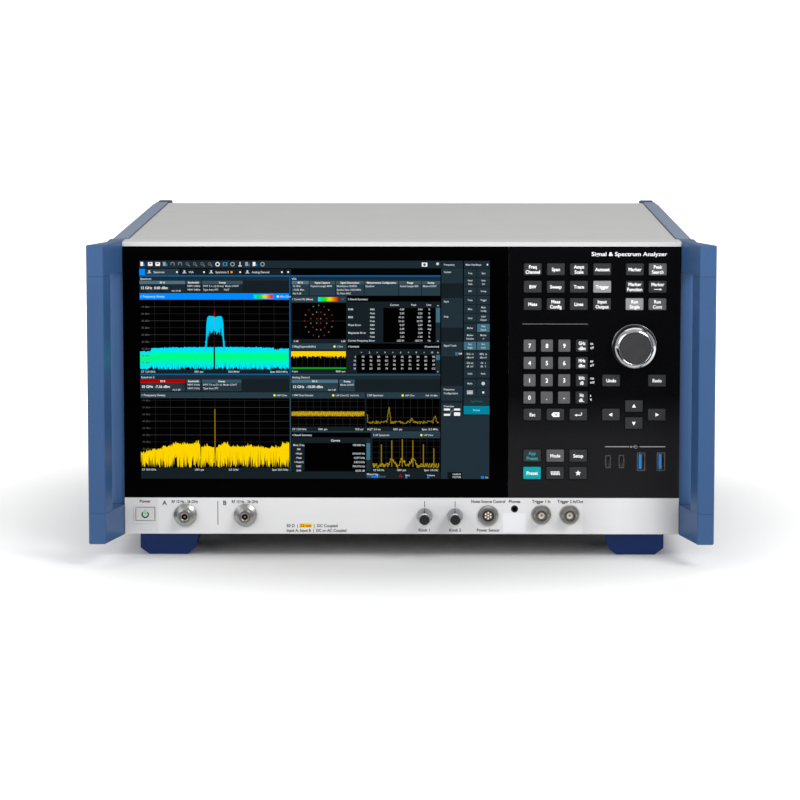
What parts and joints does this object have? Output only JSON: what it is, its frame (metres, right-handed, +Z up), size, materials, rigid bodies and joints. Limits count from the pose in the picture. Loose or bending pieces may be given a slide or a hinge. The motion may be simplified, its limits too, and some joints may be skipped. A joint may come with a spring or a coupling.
{
  "type": "spectrum analyzer",
  "caption": "Bench spectrum analyzer: wide grey case with blue front handles, large flush display, keypad, dials and front connectors; keys press, dials turn, drive tray slides out.",
  "frame": {"origin": "under the centre of the case, at the height of the feet's undersides", "axes": "+X to the right seen from the front, +Y to the back, +Z up"},
  "size_m": [0.462, 0.5048, 0.2401],
  "materials": {
    "cover_grey": "fine-textured grey paint",
    "trim_light": "satin light grey paint",
    "rail_blue": "satin blue paint",
    "handle_blue": "fine-textured blue plastic",
    "bumper_dark": "matte dark blue-grey plastic",
    "foot_navy": "matte navy plastic",
    "screen_glass": "gloss black glass with a lit display",
    "fascia_black": "smooth black",
    "strip_silver": "satin silver paint",
    "module_metal": "milled",
    "chassis_metal": "plain sheet",
    "board_green": "solder mask",
    "dial_metal": "polished ring with a dark face",
    "connector_steel": "turned steel",
    "socket_black": "moulded black",
    "fan_black": "moulded black",
    "tray_metal": "satin",
    "screw_steel": "zinc plated",
    "key_grey": "silk grey cap",
    "key_dark": "silk dark cap"
  },
  "bodies": {
    "case": {"bnc_sockets": "connector_steel", "bottom_cover": "cover_grey", "chassis": "chassis_metal", "connector_plate": "strip_silver", "display_glass": "screen_glass", "fan_frames": "fan_black", "foot_bases": "foot_navy", "front_frame": "trim_light", "handle_end_blocks": "handle_blue", "handle_grips": "handle_blue", "handle_posts": "handle_blue", "key_board": "board_green", "keypad_fascia": "fascia_black", "lcd_module": "module_metal", "left_side_panel": "cover_grey", "main_board": "board_green", "mains_inlet": "socket_black", "phones_socket": "socket_black", "power_supply": "module_metal", "rear_bumpers": "bumper_dark", "rear_panel": "cover_grey", "rear_sockets": "connector_steel", "rf_inputs": "connector_steel", "rf_modules": "module_metal", "right_side_panel": "cover_grey", "screws": "screw_steel", "sensor_socket": "connector_steel", "side_rails": "rail_blue", "top_cover": "cover_grey", "usb_sockets": "connector_steel"},
    "drive_tray": {"drive_tray": "tray_metal"},
    "left_fold_leg": {"left_fold_leg": "foot_navy"},
    "right_fold_leg": {"right_fold_leg": "foot_navy"},
    "mains_switch": {"mains_switch": "socket_black"},
    "main_dial": {"main_dial": "dial_metal"},
    "small_dial_1": {"small_dial_1": "dial_metal"},
    "small_dial_2": {"small_dial_2": "dial_metal"},
    "fan_rotor_1": {"fan_rotor_1": "fan_black"},
    "fan_rotor_2": {"fan_rotor_2": "fan_black"},
    "arrow_key_down": {"arrow_key_down": "key_dark"},
    "arrow_key_left": {"arrow_key_left": "key_dark"},
    "arrow_key_right": {"arrow_key_right": "key_dark"},
    "arrow_key_up": {"arrow_key_up": "key_dark"},
    "digit_keys_row_1": {"digit_keys_row_1": "key_grey"},
    "digit_keys_row_2": {"digit_keys_row_2": "key_grey"},
    "digit_keys_row_3": {"digit_keys_row_3": "key_grey"},
    "digit_keys_row_4": {"digit_keys_row_4": "key_grey"},
    "edit_keys": {"edit_keys": "key_dark"},
    "function_keys_row_1": {"function_keys_row_1": "key_dark"},
    "function_keys_row_2": {"function_keys_row_2": "key_dark"},
    "function_keys_row_3": {"function_keys_row_3": "key_dark"},
    "marker_keys_row_1": {"marker_keys_row_1": "key_dark"},
    "marker_keys_row_2": {"marker_keys_row_2": "key_dark"},
    "marker_keys_row_3": {"marker_keys_row_3": "key_dark"},
    "power_key": {"power_key": "strip_silver"},
    "redo_key": {"redo_key": "key_dark"},
    "system_keys_row_1": {"system_keys_row_1": "key_dark"},
    "system_keys_row_2": {"system_keys_row_2": "key_dark"},
    "undo_key": {"undo_key": "key_dark"},
    "unit_keys": {"unit_keys": "key_dark"}
  },
  "joints": [
    {"name": "drive_tray_slide", "type": "slide", "parent": "case", "child": "drive_tray", "axis": [0, 1, 0], "range_m": [0, 0.125]},
    {"name": "fold_leg_left", "type": "hinge", "parent": "case", "child": "left_fold_leg", "pos_m": [-0.177, -0.17335, 0.0065], "axis": [-1, 0, 0], "range_deg": [0, 100]},
    {"name": "fold_leg_right", "type": "hinge", "parent": "case", "child": "right_fold_leg", "pos_m": [0.177, -0.17335, 0.0065], "axis": [-1, 0, 0], "range_deg": [0, 100]},
    {"name": "mains_switch_rock", "type": "hinge", "parent": "case", "child": "mains_switch", "pos_m": [0.118, 0.22465, 0.046], "axis": [-1, 0, 0], "range_deg": [0, 16]},
    {"name": "turn_main_dial", "type": "hinge", "parent": "case", "child": "main_dial", "pos_m": [0.17375, -0.20735, 0.161], "axis": [0, 1, 0], "continuous": true},
    {"name": "turn_small_dial_1", "type": "hinge", "parent": "case", "child": "small_dial_1", "pos_m": [0.0172, -0.20735, 0.0328], "axis": [0, 1, 0], "continuous": true},
    {"name": "turn_small_dial_2", "type": "hinge", "parent": "case", "child": "small_dial_2", "pos_m": [0.04015, -0.20735, 0.0328], "axis": [0, 1, 0], "continuous": true},
    {"name": "spin_fan_1", "type": "hinge", "parent": "case", "child": "fan_rotor_1", "pos_m": [-0.14, 0.21165, 0.15], "axis": [0, 1, 0], "continuous": true},
    {"name": "spin_fan_2", "type": "hinge", "parent": "case", "child": "fan_rotor_2", "pos_m": [-0.05, 0.21165, 0.15], "axis": [0, 1, 0], "continuous": true},
    {"name": "press_power_key", "type": "slide", "parent": "case", "child": "power_key", "axis": [0, 1, 0], "range_m": [0, 0.0012], "stiffness_N_per_m": 400, "springref_m": -0.001},
    {"name": "press_arrow_key_down", "type": "slide", "parent": "case", "child": "arrow_key_down", "axis": [0, 1, 0], "range_m": [0, 0.0012], "stiffness_N_per_m": 400, "springref_m": -0.001},
    {"name": "press_arrow_key_left", "type": "slide", "parent": "case", "child": "arrow_key_left", "axis": [0, 1, 0], "range_m": [0, 0.0012], "stiffness_N_per_m": 400, "springref_m": -0.001},
    {"name": "press_arrow_key_right", "type": "slide", "parent": "case", "child": "arrow_key_right", "axis": [0, 1, 0], "range_m": [0, 0.0012], "stiffness_N_per_m": 400, "springref_m": -0.001},
    {"name": "press_arrow_key_up", "type": "slide", "parent": "case", "child": "arrow_key_up", "axis": [0, 1, 0], "range_m": [0, 0.0012], "stiffness_N_per_m": 400, "springref_m": -0.001},
    {"name": "press_digit_keys_row_1", "type": "slide", "parent": "case", "child": "digit_keys_row_1", "axis": [0, 1, 0], "range_m": [0, 0.0012], "stiffness_N_per_m": 400, "springref_m": -0.001},
    {"name": "press_digit_keys_row_2", "type": "slide", "parent": "case", "child": "digit_keys_row_2", "axis": [0, 1, 0], "range_m": [0, 0.0012], "stiffness_N_per_m": 400, "springref_m": -0.001},
    {"name": "press_digit_keys_row_3", "type": "slide", "parent": "case", "child": "digit_keys_row_3", "axis": [0, 1, 0], "range_m": [0, 0.0012], "stiffness_N_per_m": 400, "springref_m": -0.001},
    {"name": "press_digit_keys_row_4", "type": "slide", "parent": "case", "child": "digit_keys_row_4", "axis": [0, 1, 0], "range_m": [0, 0.0012], "stiffness_N_per_m": 400, "springref_m": -0.001},
    {"name": "press_edit_keys", "type": "slide", "parent": "case", "child": "edit_keys", "axis": [0, 1, 0], "range_m": [0, 0.0012], "stiffness_N_per_m": 400, "springref_m": -0.001},
    {"name": "press_function_keys_row_1", "type": "slide", "parent": "case", "child": "function_keys_row_1", "axis": [0, 1, 0], "range_m": [0, 0.0012], "stiffness_N_per_m": 400, "springref_m": -0.001},
    {"name": "press_function_keys_row_2", "type": "slide", "parent": "case", "child": "function_keys_row_2", "axis": [0, 1, 0], "range_m": [0, 0.0012], "stiffness_N_per_m": 400, "springref_m": -0.001},
    {"name": "press_function_keys_row_3", "type": "slide", "parent": "case", "child": "function_keys_row_3", "axis": [0, 1, 0], "range_m": [0, 0.0012], "stiffness_N_per_m": 400, "springref_m": -0.001},
    {"name": "press_marker_keys_row_1", "type": "slide", "parent": "case", "child": "marker_keys_row_1", "axis": [0, 1, 0], "range_m": [0, 0.0012], "stiffness_N_per_m": 400, "springref_m": -0.001},
    {"name": "press_marker_keys_row_2", "type": "slide", "parent": "case", "child": "marker_keys_row_2", "axis": [0, 1, 0], "range_m": [0, 0.0012], "stiffness_N_per_m": 400, "springref_m": -0.001},
    {"name": "press_marker_keys_row_3", "type": "slide", "parent": "case", "child": "marker_keys_row_3", "axis": [0, 1, 0], "range_m": [0, 0.0012], "stiffness_N_per_m": 400, "springref_m": -0.001},
    {"name": "press_redo_key", "type": "slide", "parent": "case", "child": "redo_key", "axis": [0, 1, 0], "range_m": [0, 0.0012], "stiffness_N_per_m": 400, "springref_m": -0.001},
    {"name": "press_system_keys_row_1", "type": "slide", "parent": "case", "child": "system_keys_row_1", "axis": [0, 1, 0], "range_m": [0, 0.0012], "stiffness_N_per_m": 400, "springref_m": -0.001},
    {"name": "press_system_keys_row_2", "type": "slide", "parent": "case", "child": "system_keys_row_2", "axis": [0, 1, 0], "range_m": [0, 0.0012], "stiffness_N_per_m": 400, "springref_m": -0.001},
    {"name": "press_undo_key", "type": "slide", "parent": "case", "child": "undo_key", "axis": [0, 1, 0], "range_m": [0, 0.0012], "stiffness_N_per_m": 400, "springref_m": -0.001},
    {"name": "press_unit_keys", "type": "slide", "parent": "case", "child": "unit_keys", "axis": [0, 1, 0], "range_m": [0, 0.0012], "stiffness_N_per_m": 400, "springref_m": -0.001}
  ]
}
